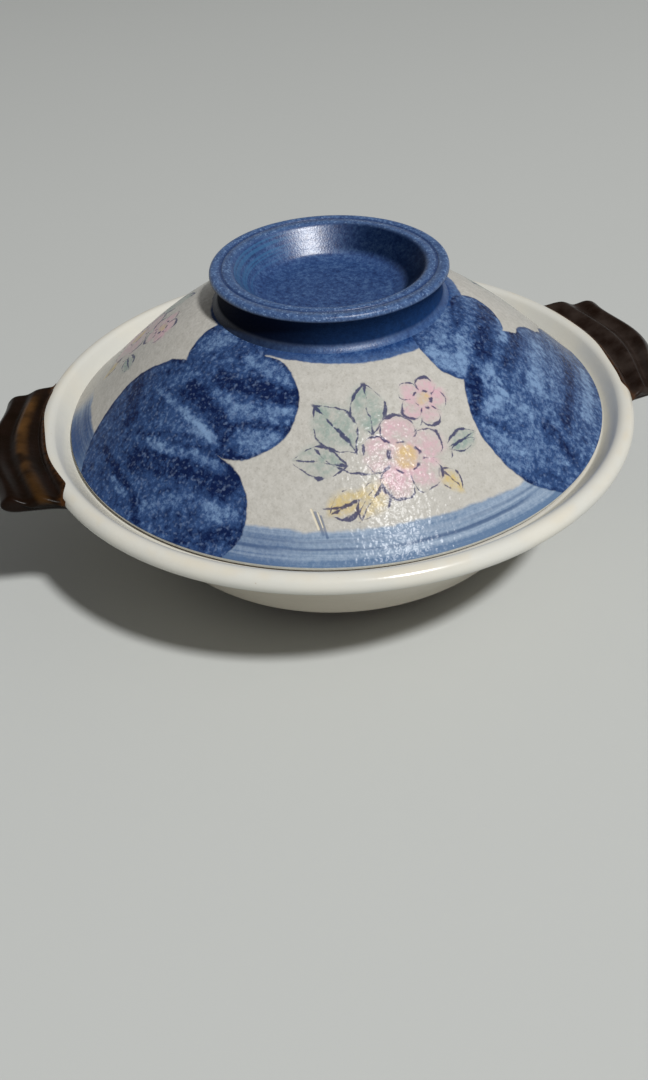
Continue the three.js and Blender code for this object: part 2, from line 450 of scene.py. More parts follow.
def edge_fall(shares, width):
    """How full the handle is: 1 inside, falling to 0 in a quarter round at the outer edge."""
    round_share = HANDLE_EDGE_ROUND / width
    into = np.clip((shares - 1 + round_share) / round_share, 0, 1)
    return np.sqrt(1 - into**2)


def handle_row(along, inset, side):
    """One section of a handle, from the pot out to the edge: its top and bottom points, where its top is a
    crest and where its glaze runs thin."""
    shares = np.sin(np.linspace(0, np.pi / 2, HANDLE_ACROSS))
    near = 0.5 - 0.5 * along * side
    lap = LAP_FAR + (LAP_NEAR - LAP_FAR) * ease(near) + LAP_WAVE * math.sin(LAP_WAVE_RATE * along + side)
    lap += (LAP_END - lap) * ease((abs(along) - LAP_END_START) / (1 - LAP_END_START))
    bow = HANDLE_BOW * math.cos(along * math.pi / 2) ** 2
    middle = HANDLE_SHIFT * side
    reach = HANDLE_REACH - HANDLE_BOW + bow + HANDLE_SKEW * along - inset
    edge = np.array((reach, middle + HANDLE_HALF_EDGE * along))

    def spread(radius):
        y = middle + HANDLE_HALF_ROOT * along
        root = np.array((math.sqrt(radius**2 - y**2), y))
        return root + (edge - root) * shares[:, None]

    top_plan = spread(lap)
    radius = np.linalg.norm(top_plan, axis=1)
    width = np.linalg.norm(edge - top_plan[0])
    out = np.clip((radius - RIM_RADIUS) / (radius[-1] - RIM_RADIUS), 0, 1)
    lug = eased_curve(HANDLE_TOP, out) * MM
    lug *= 1 - RIDGE_END_LOSS * along**4 + RIDGE_WANDER * math.sin(RIDGE_WANDER_RATE * along + 2 * side)
    lug += (RIDGE_MEAN_RISE - lug) * RIDGE_BACK_LOSS[side] * ease(1 - near / RIDGE_BACK_SHARE)
    start = ease(shares * width / HANDLE_SKIN_START)
    skin_radius = LIP_ROLL + HANDLE_SKIN * (2 * start - 1)
    across = np.clip(radius - LIP_CENTRE[0], 0, skin_radius)
    over_lip = np.maximum(np.sqrt(skin_radius**2 - across**2), lug)
    full = edge_fall(shares, width)
    top = HANDLE_TIP_RISE + (over_lip - inset * start - HANDLE_TIP_RISE) * full
    under_share = 1 - (1 - np.clip(shares / HANDLE_UNDER_SHARE, 0, 1)) ** 2
    under = HANDLE_UNDER_RISE + (HANDLE_BOTTOM_RISE - HANDLE_UNDER_RISE) * under_share
    bottom = HANDLE_TIP_RISE + (under + inset - HANDLE_TIP_RISE) * full
    bottom_plan = spread(HANDLE_UNDER_RADIUS)
    crest = ease((lug - CREST_LOW) / (CREST_HIGH - CREST_LOW)) * (out > CREST_START) * (out < CREST_END)
    thin = 1 - ease((radius - lap) / THIN_REACH)
    upper = np.column_stack((top_plan, LIP_HEIGHT + top))
    lower = np.column_stack((bottom_plan, LIP_HEIGHT + bottom))
    return upper, lower, crest, thin


def handle(name, side, material):
    """A lug pressed from clay: a closed loft along the rim, rounded off at both ends."""
    end = HANDLE_END_ROUND / HANDLE_HALF_EDGE
    turns = np.linspace(0, np.pi / 2, HANDLE_END_STATIONS + 1)[1:]
    closing = [(1 - end + end * math.sin(turn), HANDLE_END_ROUND * (1 - math.cos(turn))) for turn in turns]
    middle = [(along, 0.0) for along in np.linspace(end - 1, 1 - end, HANDLE_STATIONS)]
    opening = [(-along, inset) for along, inset in reversed(closing)]
    rows = [handle_row(along, inset, side) for along, inset in opening + middle + closing]
    loops = []
    crests = []
    thins = []
    for upper, lower, crest, thin in rows:
        loops.append(np.concatenate((upper, lower[-2::-1])))
        crests.append(np.concatenate((crest, np.zeros(HANDLE_ACROSS - 1))))
        thins.append(np.concatenate((thin, np.zeros(HANDLE_ACROSS - 1))))
    size = len(loops[0])
    vertices = np.concatenate(loops) * (side, side, 1)
    bearings = np.arctan2(vertices[:, 1], vertices[:, 0])
    vertices[:, :2] *= wobble(bearings, BOWL_PHASE)[:, None]
    faces = []
    for row in range(len(loops) - 1):
        for step in range(size):
            after = (step + 1) % size
            first = row * size
            second = first + size
            faces.append((first + step, first + after, second + after, second + step))
    for first in (0, (len(loops) - 1) * size):
        for step in range(HANDLE_ACROSS - 1):
            corners = (step, step + 1, size - 2 - step, size - 1 - step)
            faces.append(tuple(dict.fromkeys(first + corner for corner in corners)))
    thing = make_mesh(name, vertices, faces, material)
    mark(thing, "crest", np.concatenate(crests))
    mark(thing, "thin", np.concatenate(thins))
    return thing


# Shader fields

def add_node(tree, kind, values, output=0, **settings):
    """Add a node, set or link its inputs, and give one of its outputs as a field."""
    node = tree.nodes.new(kind)
    for key, value in settings.items():
        setattr(node, key, value)
    for key, value in values.items():
        if isinstance(value, Field):
            tree.links.new(value.socket, node.inputs[key])
        else:
            node.inputs[key].default_value = value
    return Field(tree, node.outputs[output])


class Field:
    """A number, vector or colour that varies over a surface: one output of a node, with arithmetic."""

    def __init__(self, tree, socket):
        self.tree = tree
        self.socket = socket

    def math(self, operation, *others):
        values = dict(enumerate((self, *others)))
        return add_node(self.tree, "ShaderNodeMath", values, operation=operation)

    def vector(self, operation, *others, output=0):
        values = dict(enumerate((self, *others)))
        return add_node(self.tree, "ShaderNodeVectorMath", values, output, operation=operation)

    def __add__(self, other):
        return self.math("ADD", other)

    def __sub__(self, other):
        return self.math("SUBTRACT", other)

    def __mul__(self, other):
        return self.math("MULTIPLY", other)

    def __truediv__(self, other):
        return self.math("DIVIDE", other)

    def __abs__(self):
        return self.math("ABSOLUTE")

    def __pow__(self, power):
        return self.math("POWER", power)

    def flip(self):
        return add_node(self.tree, "ShaderNodeMath", {0: 1.0, 1: self}, operation="SUBTRACT")

    def lower(self, other):
        return self.math("MINIMUM", other)

    def higher(self, other):
        return self.math("MAXIMUM", other)

    def rise(self, low, high):
        """0 below low, 1 above high, smooth between; with low above high it falls instead."""
        if low > high:
            return self.rise(high, low).flip()
        values = {"Value": self, "From Min": low, "From Max": high}
        return add_node(self.tree, "ShaderNodeMapRange", values, interpolation_type="SMOOTHSTEP")

    def ramp(self, low, high):
        """0 below low, 1 above high, straight between."""
        values = {"Value": self, "From Min": low, "From Max": high}
        return add_node(self.tree, "ShaderNodeMapRange", values)

    def above(self, edge, soft):
        """1 above an edge and 0 below it, soft to either side."""
        return self.rise(edge - soft, edge + soft)

    def below(self, edge, soft):
        return self.rise(edge + soft, edge - soft)

    def near(self, target, full, none):
        """1 within full of a target value, falling to 0 at none."""
        return abs(self - target).rise(none, full)

    def centred(self, amount):
        """Noise about 0.5, as a swing of the given amount about 0."""
        return (self - 0.5) * amount

    def clamped(self):
        return add_node(self.tree, "ShaderNodeClamp", {"Value": self})

    def times(self, vector):
        return add_node(self.tree, "ShaderNodeVectorMath", {0: vector, 3: self}, operation="SCALE")

    def part(self, axis):
        return add_node(self.tree, "ShaderNodeSeparateXYZ", {0: self}, output=axis)

    def moved(self, offset):
        return self.vector("ADD", offset)

    def dot(self, direction):
        return self.vector("DOT_PRODUCT", direction, output=1)

    def distance(self, point):
        return self.vector("DISTANCE", point, output=1)

    def scaled(self, amount):
        return add_node(self.tree, "ShaderNodeVectorMath", {0: self, 3: amount}, operation="SCALE")


def lowest(fields):
    return functools.reduce(Field.lower, fields)


def highest(fields):
    return functools.reduce(Field.higher, fields)


def combine(x, y, z):
    return add_node(x.tree, "ShaderNodeCombineXYZ", {0: x, 1: y, 2: z})


def noise(place, size, detail=2.0, roughness=0.5, seed=0.0, colour=False):
    """Noise about 0.5 whose largest features measure about the given size."""
    values = {"Vector": place, "W": seed, "Scale": 1 / size, "Detail": detail, "Roughness": roughness}
    return add_node(place.tree, "ShaderNodeTexNoise", values, int(colour), noise_dimensions="4D")


def pores(place, size):
    """Distance to the middle of the nearest pore of a sponge, in units of the pores' spacing."""
    return add_node(place.tree, "ShaderNodeTexVoronoi", {"Vector": place, "Scale": 1 / size})


def wander(place, size, reach, seed):
    """The place, moved about at random by up to the given reach."""
    push = noise(place, size, seed=seed, colour=True).moved((-0.5, -0.5, -0.5))
    return place.moved(push.scaled(2 * reach))


def blend(share, first, second):
    """A colour between two, by share."""
    values = {0: share, 6: first, 7: second}
    return add_node(share.tree, "ShaderNodeMix", values, 2, data_type="RGBA")


def three_tones(tone, dark, middle, light):
    """A colour from a tone that runs from 0, dark, over 0.5 to 1, light."""
    return blend(tone.ramp(0.5, 1.0), blend(tone.ramp(0.0, 0.5), dark, middle), light)


def streaks(place, radius, across, turns, seed):
    """Noise drawn out round the axis, as left by a brush on a turning wheel."""
    x = place.part(0) / radius * turns
    y = place.part(1) / radius * turns
    return noise(combine(x, y, radius / across), 1.0, detail=3.0, seed=seed)


def axis_distance(place):
    x = place.part(0)
    y = place.part(1)
    return (x * x + y * y).math("SQRT")


class Glaze:
    """A glossy material whose colour, roughness and bump come from fields."""

    def __init__(self, name):
        self.material = bpy.data.materials.new(name)
        self.material.use_nodes = True
        self.tree = self.material.node_tree
        self.surface = self.tree.nodes["Principled BSDF"]
        self.place = add_node(self.tree, "ShaderNodeTexCoord", {}, 3)

    def attribute(self, name):
        return add_node(self.tree, "ShaderNodeAttribute", {}, 2, attribute_name=name)

    def finish(self, colour, roughness, height, depth, shine):
        normal = add_node(self.tree, "ShaderNodeBump", {"Distance": depth, "Height": height})
        inputs = {
            "Base Color": colour,
            "Roughness": roughness,
            "Normal": normal,
            "Specular IOR Level": shine,
        }
        for name, value in inputs.items():
            if isinstance(value, Field):
                self.tree.links.new(value.socket, self.surface.inputs[name])
            else:
                self.surface.inputs[name].default_value = value
        return self.material


# Finishes of the pot and its handles

# Bowl: the height where its glaze ends, the radius of its worn lip, and where its painted warm bounce light
# sets in
GLAZE_LINE = 11 * MM
LIP_WEAR_RADIUS = LIP_CENTRE[0] + 2 * MM
BOUNCE_LIGHT_START = LIP_HEIGHT - 4 * MM
BOUNCE_LIGHT_END = LIP_HEIGHT - 16 * MM
# Handles: within how much of the middle one's brown turns to the other's (the right one's carries a painted
# grey sheen), and where the amber brightens
BROWN_TURN = 20 * MM
BRIGHT_START = -34 * MM
BRIGHT_END = 6 * MM


def cream_glaze():
    """Cream, warmer on worn edges, with painted warm bounce light low on the wall, iron specks and bare clay
    at the foot.
    """
    glaze = Glaze("cream_glaze")
    place = glaze.place
    radius = axis_distance(place)
    height = place.part(2)
    colour = blend(noise(place, 26 * MM, detail=3.0, seed=1.0).rise(0.35, 0.65), CREAM_COOL, CREAM)
    on_lip = height.rise(LIP_HEIGHT, LIP_HEIGHT + LIP_ROLL)
    lip_crest = radius.near(LIP_WEAR_RADIUS, full=0.5 * MM, none=3 * MM) * on_lip
    ledge_edge = radius.near(LEDGE_INNER[0], full=0.4 * MM, none=2.2 * MM)
    worn = lip_crest.higher(ledge_edge) * noise(place, 12 * MM, seed=3.0).rise(0.35, 0.7)
    colour = blend(worn * 0.5, colour, CREAM_WARM)
    # Painted warm bounce light: low on the wall, where the pot is in shade, the cream is painted warmer.
    colour = blend(height.rise(BOUNCE_LIGHT_START, BOUNCE_LIGHT_END), colour, CREAM_BOUNCE_LIGHT)
    specks = noise(place, 1.3 * MM, detail=0.0, seed=4.0).rise(0.84, 0.90)
    colour = blend(specks * 0.4, colour, IRON_SPECK)
    bare = wander(place, 14 * MM, reach=2.0 * MM, seed=5.0).part(2).below(GLAZE_LINE, soft=0.4 * MM)
    clay = blend(noise(place, 2.5 * MM, detail=4.0, seed=6.0).rise(0.3, 0.7), CLAY_DARK, CLAY)
    colour = blend(bare, colour, clay)
    grain = noise(place, 1.4 * MM, seed=2.0)
    roughness = grain * 0.06 + 0.17 + bare * 0.5
    bump = noise(place, 8 * MM, seed=7.0) + grain * 0.12 + bare * noise(place, 0.7 * MM, seed=8.0) * 0.8
    return glaze.finish(colour, roughness, bump, depth=0.12 * MM, shine=0.45)


def brown_glaze():
    """Dark brown that runs thin at the laps and breaks to amber on the left handle's inner ridge; the right
    handle's is greyer, a painted sheen.
    """
    glaze = Glaze("brown_glaze")
    place = glaze.place
    crest = glaze.attribute("crest")
    thin = glaze.attribute("thin")
    broken = noise(place, 9 * MM, detail=3.0, seed=11.0)
    fine = noise(place, 2.2 * MM, seed=12.0)
    left = place.part(0).rise(BROWN_TURN, -BROWN_TURN)
    # Painted sheen: the right handle's brown is mixed with a lighter grey that stands in for a soft
    # reflection.
    right_brown_sheen = blend(broken.rise(0.3, 0.7), BROWN_VALLEY, BROWN_SHEEN_GREY)
    left_brown = blend(broken.rise(0.35, 0.7), BROWN, BROWN_VALLEY)
    colour = blend(left, right_brown_sheen, left_brown)
    bright = left * (place.part(1).rise(BRIGHT_START, BRIGHT_END) * 0.6 + 0.4)
    patches = noise(place, 16 * MM, seed=15.0).rise(0.34, 0.60)
    amber = crest * bright * patches * (fine * 0.5 + 0.5)
    colour = blend(amber * 0.7, colour, BROWN_AMBER)
    colour = blend(thin * fine.rise(0.3, 0.6) * 0.7, colour, BROWN_THIN)
    roughness = broken * 0.14 + 0.22
    bump = noise(place, 3.2 * MM, seed=13.0) + noise(place, 0.9 * MM, seed=14.0) * 0.3
    return glaze.finish(colour, roughness, bump, depth=0.12 * MM, shine=0.085)


# Paint on the lid: places are a radius in millimetres and a bearing in degrees

# The collar is the knob's blue brushed out over the dome, off the axis by a shift
COLLAR_RADIUS = 54.5 * MM
COLLAR_SHIFT = Vector((2.0 * MM, -2.6 * MM, 0))
COLLAR_PALE_EDGE = 6 * MM

# The band above the lid's edge has two drawn rings, and darker patches of blue: a share and a place
BAND_RADIUS = 110.5 * MM
BAND_LINE_RADIUS = 116 * MM
BAND_FAINT_RADIUS = 113.6 * MM
BAND_EDGE_RADIUS = 119.6 * MM
BAND_DARK_PATCHES = ((1.0, (118, 179)), (0.4, (115, -122)))
BAND_DARK_REACH = 30 * MM
BAND_SLANT = 0.16
BAND_FADE_START = 0.0
BAND_FADE_END = 17 * MM

# Three panels lie between the clouds
PANEL_BEARING = -92.0
PANEL_COUNT = 3
BACK_CLOUD_TURN = -120.0

# Scars are two scratches in the glaze with shades beside them: half width in millimetres and two places
SCARS = ((0.42, (104.6, -110), (110, -108.3)), (0.28, (105.5, -108.6), (109.5, -107.5)))
SCAR_SHADES = ((0.6, (105.5, -109.2), (111.5, -107.4)), (0.5, (106.5, -108.0), (112.5, -106.6)))

# Clouds: tone is how light the blue is, and force how strongly the strokes show. Lobes are a place and a
# reach in millimetres. Strokes are how much lighter they are, a half width in millimetres and some places.
LEFT_CLOUD = {
    "tone": 0.38,
    "force": 0.86,
    "lobes": [(75.6, -133, 23.3), (110.8, -136, 24.2), (99, -157, 38.5), (60, -152, 19)],
    "strokes": [
        (0.40, 2.0, (84, -164), (85, -149), (89, -137)),
        (0.42, 2.2, (98, -156), (97, -148), (95, -140), (97, -131)),
        (0.32, 3.6, (75, -144), (78, -133), (77, -116)),
        (0.36, 4.5, (87, -130), (85, -121)),
        (0.28, 3.2, (58, -139), (64, -121)),
        (0.36, 5.0, (61, -163), (53, -156)),
        (0.26, 3.0, (79, -163), (73, -157)),
        (0.34, 3.4, (109, -132), (109, -127)),
        (0.32, 2.2, (114, -159), (115, -154)),
        (0.20, 4.5, (90, -155), (88, -141)),
        (0.18, 3.0, (115, -147), (107, -135)),
        (-0.34, 4.0, (70, -145), (71, -117)),
        (-0.34, 4.0, (78, -154), (80, -141), (88, -133), (96, -130)),
        (-0.34, 5.5, (104, -156), (100, -143), (101, -131)),
        (-0.38, 1.9, (110, -168), (112, -159), (113, -153), (120, -147)),
        (-0.38, 3.6, (87, -179), (97, -167)),
        (-0.22, 2.8, (120, -137), (113, -124)),
        (-0.22, 1.2, (97, -159), (90, -144)),
        (-0.20, 1.8, (83, -134), (81, -118)),
    ],
}
RIGHT_CLOUD = {
    "tone": 0.57,
    "force": 0.95,
    "lobes": [
        (62.8, -47, 21.2), (64.3, -24, 13), (98.4, -42, 39.9), (100, -22, 25),
        (101, -10, 10.5), (113, -7, 22.5), (115, -26, 20),
    ],
    "strokes": [
        (0.30, 4.5, (91, -19), (93, -39)),
        (0.28, 1.5, (101, -7), (98, -32)),
        (0.34, 3.4, (117, -10), (114, -31)),
        (0.36, 2.0, (76, -46), (81, -49), (87, -50)),
        (0.26, 3.0, (85, -52), (97, -48)),
        (0.28, 2.4, (87, -60), (87, -54)),
        (0.26, 3.0, (97, -62), (103, -58)),
        (0.30, 4.2, (62, -64), (71, -57)),
        (0.16, 2.8, (50, -26), (59, -55)),
        (0.24, 2.0, (63, -46), (70, -55)),
        (0.36, 2.2, (74, -20), (77, -30)),
        (0.30, 1.0, (76, -53), (81, -54)),
        (-0.38, 4.6, (68, -18), (73, -46)),
        (-0.42, 3.0, (75, -54), (86, -62)),
        (-0.36, 3.8, (81, -22), (82, -40)),
        (-0.42, 3.6, (107, -12), (108, -40)),
        (-0.32, 4.0, (104, -46), (117, -46)),
        (-0.26, 0.8, (98, -17), (98, -35)),
        (-0.22, 3.2, (55, -21), (59, -42)),
        (-0.26, 1.0, (81, -50), (86, -49)),
        (-0.20, 2.0, (90, -62), (95, -57)),
        (-0.20, 2.4, (111, -58), (119, -54)),
    ],
}


def on_lid(radius, bearing):
    """The point of the lid's outside at a radius in millimetres and a bearing in degrees."""
    angle = math.radians(bearing)
    reach = radius * MM
    return Vector((reach * math.cos(angle), reach * math.sin(angle), dome_height(reach)))


def turned(cloud, turn):
    """A cloud carried round the lid by a turn in degrees."""
    def carried(strength, width, *places):
        return strength, width, *[(radius, bearing + turn) for radius, bearing in places]
    return {
        "tone": cloud["tone"],
        "force": cloud["force"],
        "lobes": [(radius, bearing + turn, reach) for radius, bearing, reach in cloud["lobes"]],
        "strokes": [carried(*stroke) for stroke in cloud["strokes"]],
    }


CLOUDS = (LEFT_CLOUD, RIGHT_CLOUD, turned(LEFT_CLOUD, BACK_CLOUD_TURN))


def stroke_mask(place, width, *places):
    """1 along the middle of a brush stroke through places on the lid, with soft sides."""
    points = [on_lid(*spot) for spot in places]
    offsets = []
    for first, second in zip(points, points[1:]):
        run = second - first
        reach = place.moved(-first)
        share = reach.dot(run / run.length_squared).clamped()
        offsets.append(reach.distance(share.times(run)))
    return lowest(offsets).below(width * MM, soft=0.5 * width * MM)


def cloud_edge(place, cloud):
    """How far outside a cloud's lobes a place is, negative inside."""
    edges = []
    for radius, bearing, reach in cloud["lobes"]:
        edges.append(place.distance(on_lid(radius, bearing)) - reach * MM)
    return lowest(edges)


def clouds_paint(colour, place, wet):
    """Sponged and brushed blue clouds over a colour, darker along their edges."""
    edges = [cloud_edge(wet, cloud) for cloud in CLOUDS]
    outside = lowest(edges)
    tone = highest([edge.below(0, soft=0.5 * MM) * cloud["tone"] for edge, cloud in zip(edges, CLOUDS)])
    sponged = wander(wet, 2.6 * MM, reach=1.6 * MM, seed=25.0)
    for cloud in CLOUDS:
        for strength, *stroke in cloud["strokes"]:
            tone = tone + stroke_mask(sponged, *stroke) * (strength * cloud["force"])
    tone = tone - outside.near(-0.8 * MM, full=0.2 * MM, none=1.2 * MM) * 0.16
    tone = tone + noise(place, 12 * MM, roughness=0.6, seed=21.0).centred(0.5)
    tone = tone + noise(place, 2.6 * MM, detail=3.0, roughness=0.85, seed=22.0).centred(1.55)
    open_pores = pores(wander(place, 2.4 * MM, reach=0.9 * MM, seed=26.0), 2.6 * MM)
    tone = tone - (open_pores - 0.45) * 0.4
    specks = noise(place, 1.4 * MM, detail=1.0, seed=27.0).rise(0.52, 0.78)
    blue = blend(specks * 0.32, three_tones(tone, BLUE_DARK, BLUE_MID, BLUE_LIGHT), BLUE_SPECK)
    return blend(outside.below(0, soft=0.4 * MM), colour, blue)


def ground_colour(place):
    """Warm grey, mottled and specked."""
    mottle = noise(place, 3 * MM, detail=4.0, roughness=0.8, seed=31.0)
    grain = noise(place, 0.9 * MM, seed=32.0)
    colour = blend(mottle.ramp(0.25, 0.75), GROUND, GROUND_PALE)
    return blend(grain.rise(0.52, 0.74) * 0.4, colour, GROUND_SPECK)


def band_colour(place):
    """Pale blue brushed round above the lid's edge, with two darker rings."""
    radius = axis_distance(wander(place, 30 * MM, reach=0.7 * MM, seed=44.0))
    brushed = streaks(place, radius, 1.1 * MM, turns=1.6, seed=41.0)
    grain = noise(place, 1.6 * MM, detail=3.0, roughness=0.7, seed=42.0)
    tone = brushed.centred(2.0) + grain.centred(1.2) + 0.5
    tone = tone - radius.rise(BAND_EDGE_RADIUS - 1.2 * MM, BAND_EDGE_RADIUS) * 0.6
    colour = blend(tone.ramp(0.0, 1.0), BAND_BLUE, BAND_PALE)
    uneven = streaks(place, radius, 3 * MM, turns=2.5, seed=43.0).rise(0.34, 0.6)
    drawn = radius.near(BAND_LINE_RADIUS, full=0.2 * MM, none=0.9 * MM) * 0.8
    faint = radius.near(BAND_FAINT_RADIUS, full=0.1 * MM, none=0.9 * MM) * 0.4
    colour = blend(drawn.higher(faint) * uneven, colour, BAND_LINE)
    for share, spot in BAND_DARK_PATCHES:
        darkened = place.distance(on_lid(*spot)).rise(BAND_DARK_REACH, 0.2 * BAND_DARK_REACH)
        colour = blend(darkened * tone.ramp(1.8, 0.2) * share, colour, BLUE_MID)
    return colour


def band_share(place, radius):
    """1 on the brushed band above the lid's edge, which fades out behind the pot's middle."""
    brushed = radius.above(BAND_RADIUS, soft=0.6 * MM)
    back = place.part(1) + place.part(0) * BAND_SLANT
    return brushed * back.rise(BAND_FADE_END, BAND_FADE_START)


# Blue of the knob, which its collar shares: its pattern's seed, and the bearing where the painted shade in
# its cup is deepest
KNOB_SEED = 81.0
KNOB_SHADE_BEARING = 8.0


def wheel_blue(place, radius, seed):
    """Speckled blue brushed on while the wheel turned."""
    brushed = streaks(place, radius, 2.2 * MM, turns=1.4, seed=seed)
    grain = noise(place, 2.0 * MM, detail=3.0, roughness=0.85, seed=seed + 1)
    mottle = noise(place, 9 * MM, seed=seed + 2)
    tone = brushed.centred(0.7) + grain.centred(3.2) + mottle.centred(0.8) + 0.5
    return three_tones(tone, KNOB_DARK, KNOB_BLUE, KNOB_RING)


def knob_facing(place, radius):
    """1 on the side of the knob where its cup's painted shade is deepest, -1 on the other, where its
    outside's is.
    """
    angle = math.radians(KNOB_SHADE_BEARING)
    return place.dot(Vector((math.cos(angle), math.sin(angle), 0))) / radius


def painted_shade_side(facing):
    """How much painted shade the outside of the knob and its collar take on the side facing -X, away from
    the lamp.
    """
    return facing.rise(-0.35, -0.95) * 0.85


def collar_paint(colour, place, wet):
    """The knob's blue, brushed out over a colour: paler at its edge from thin glaze and a painted highlight,
    with painted shade on one side.
    """
    radius = axis_distance(wet)
    reach = axis_distance(wet.moved(-COLLAR_SHIFT))
    # Paler specks at the collar's edge: thin glaze, and partly a painted highlight.
    worn = noise(place, 1.8 * MM, seed=73.0) * 0.45
    thin_glaze_highlight = reach.rise(COLLAR_RADIUS - COLLAR_PALE_EDGE, COLLAR_RADIUS) * worn
    collar = blend(thin_glaze_highlight, wheel_blue(place, radius, KNOB_SEED), RING_SPECK)
    # Painted shade on the collar's side away from the lamp.
    collar = blend(painted_shade_side(knob_facing(place, radius)), collar, KNOB_DARK)
    return blend(reach.below(COLLAR_RADIUS, soft=0.5 * MM), colour, collar)


# Sprigs in the lid's panels: radius, bearing off the panel's middle, turn in degrees, size in millimetres.
# Stems end with their bow, as a share of their size.
BLOSSOMS = ((92, 5, 20, 17), (76, 15, -15, 10.5))
LEAVES = ((88, -7, 36, 25), (84, -2, 2, 22), (92, -10, 80, 21), (93, 16, -80, 15))
GOLD_LEAVES = ((97, -1, 140, 19), (101, -6, 112, 17), (98, 12, -150, 13))
STEMS = ((95, -3, 150, 26, 0.15), (86, 6, 55, 22, -0.2), (99, -4, 195, 22, 0.12), (96, 16, 15, 14, 0.25))
PETALS = 5


def beside(place, radius, bearing, turn, size):
    """Two fields that run across and up a motif, in units of its size, turned on the lid's surface."""
    centre = on_lid(radius, PANEL_BEARING + bearing)
    up = (on_lid(radius - 1, PANEL_BEARING + bearing) - centre).normalized()
    across = Vector((-centre.y, centre.x, 0)).normalized()
    angle = math.radians(turn)
    first = across * math.cos(angle) + up * math.sin(angle)
    second = up * math.cos(angle) - across * math.sin(angle)
    reach = place.moved(-centre)
    return reach.dot(first / (size * MM)), reach.dot(second / (size * MM))


def brush_line(off, brush):
    """1 on a brush line, by how many millimetres off its middle a place is and how lightly it is pressed."""
    return (abs(off) + brush).rise(0.8, 0.2)


def blossom(place, brush, *spot):
    """Round petals about an eye: where it is filled and drawn, and its eye."""
    u, v = beside(place, *spot)
    size = spot[-1]
    rho = (u * u + v * v).math("SQRT")
    swing = abs((v.math("ARCTAN2", u) * (PETALS / 2)).math("COSINE"))
    inside = swing ** 0.5 * 0.42 + 0.58 - rho
    creases = brush_line(swing * rho * (size / 2), brush) * rho.rise(0.38, 0.46)
    stamens = brush_line((rho - 0.36) * size, brush) * swing.rise(0.6, 0.9)
    drawn = brush_line(inside * size, brush).higher(creases.higher(stamens) * inside.rise(0.0, 0.05))
    return inside.rise(-0.14, 0.26), drawn, rho.rise(0.34, 0.16)


def leaf(place, brush, *spot):
    """A pointed leaf with a midrib: where it is filled and drawn."""
    u, v = beside(place, *spot)
    size = spot[-1]
    inside = v * v.flip() * 1.3 - abs(u)
    along = v.rise(-0.04, 0.0) * v.rise(1.06, 1.0)
    drawn = brush_line(inside * size, brush).higher(brush_line(u * size, brush)) * along
    return inside.rise(-0.12, 0.2), drawn


def stem(place, brush, radius, bearing, turn, size, bow):
    """A bowed line: where it is drawn."""
    u, v = beside(place, radius, bearing, turn, size)
    off = (v - u * u.flip() * (4 * bow)) * size
    return brush_line(off, brush) * u.rise(-0.02, 0.0) * u.rise(1.02, 1.0)


def sprig_colour(colour, place):
    """A flowering sprig in each panel, washed with colour and drawn with a thin broken line."""
    angle = place.part(1).math("ARCTAN2", place.part(0)) - math.radians(PANEL_BEARING)
    step = 2 * math.pi / PANEL_COUNT
    panel = (angle / step).math("ROUND")
    spin = {"Vector": place, "Angle": panel * -step}
    folded = add_node(place.tree, "ShaderNodeVectorRotate", spin, rotation_type="Z_AXIS")
    shaky = wander(folded, 16 * MM, reach=2.6 * MM, seed=53.0)
    shaky = wander(shaky, 4 * MM, reach=1.0 * MM, seed=51.0)
    runny = wander(folded, 16 * MM, reach=4.0 * MM, seed=54.0)
    runny = wander(runny, 4 * MM, reach=1.4 * MM, seed=57.0)
    brush = (noise(folded, 8 * MM, detail=4.0, roughness=0.65, seed=55.0) - 0.46) * 5.0
    soaked = noise(folded, 7 * MM, detail=4.0, roughness=0.65, seed=52.0).rise(0.3, 0.64)
    grain = noise(folded, 1.6 * MM, detail=2.0, seed=56.0).rise(0.3, 0.55)
    wash = soaked * (grain * 0.4 + 0.32) + 0.07
    lines = [stem(shaky, brush, *spot) for spot in STEMS]
    for spots, paint in ((LEAVES, WASH_GREEN), (GOLD_LEAVES, WASH_YELLOW)):
        for spot in spots:
            colour = blend(leaf(runny, brush, *spot)[0] * wash, colour, paint)
            lines.append(leaf(shaky, brush, *spot)[1])
    drawn = highest(lines)
    for spot in BLOSSOMS:
        fill, _, eye = blossom(runny, brush, *spot)
        colour = blend(fill * wash, colour, WASH_PINK)
        colour = blend(eye * wash, colour, WASH_YELLOW)
        petals, outline, _ = blossom(shaky, brush, *spot)
        drawn = (drawn * petals.flip()).higher(outline)
    return blend(drawn * 0.85, colour, NAVY)


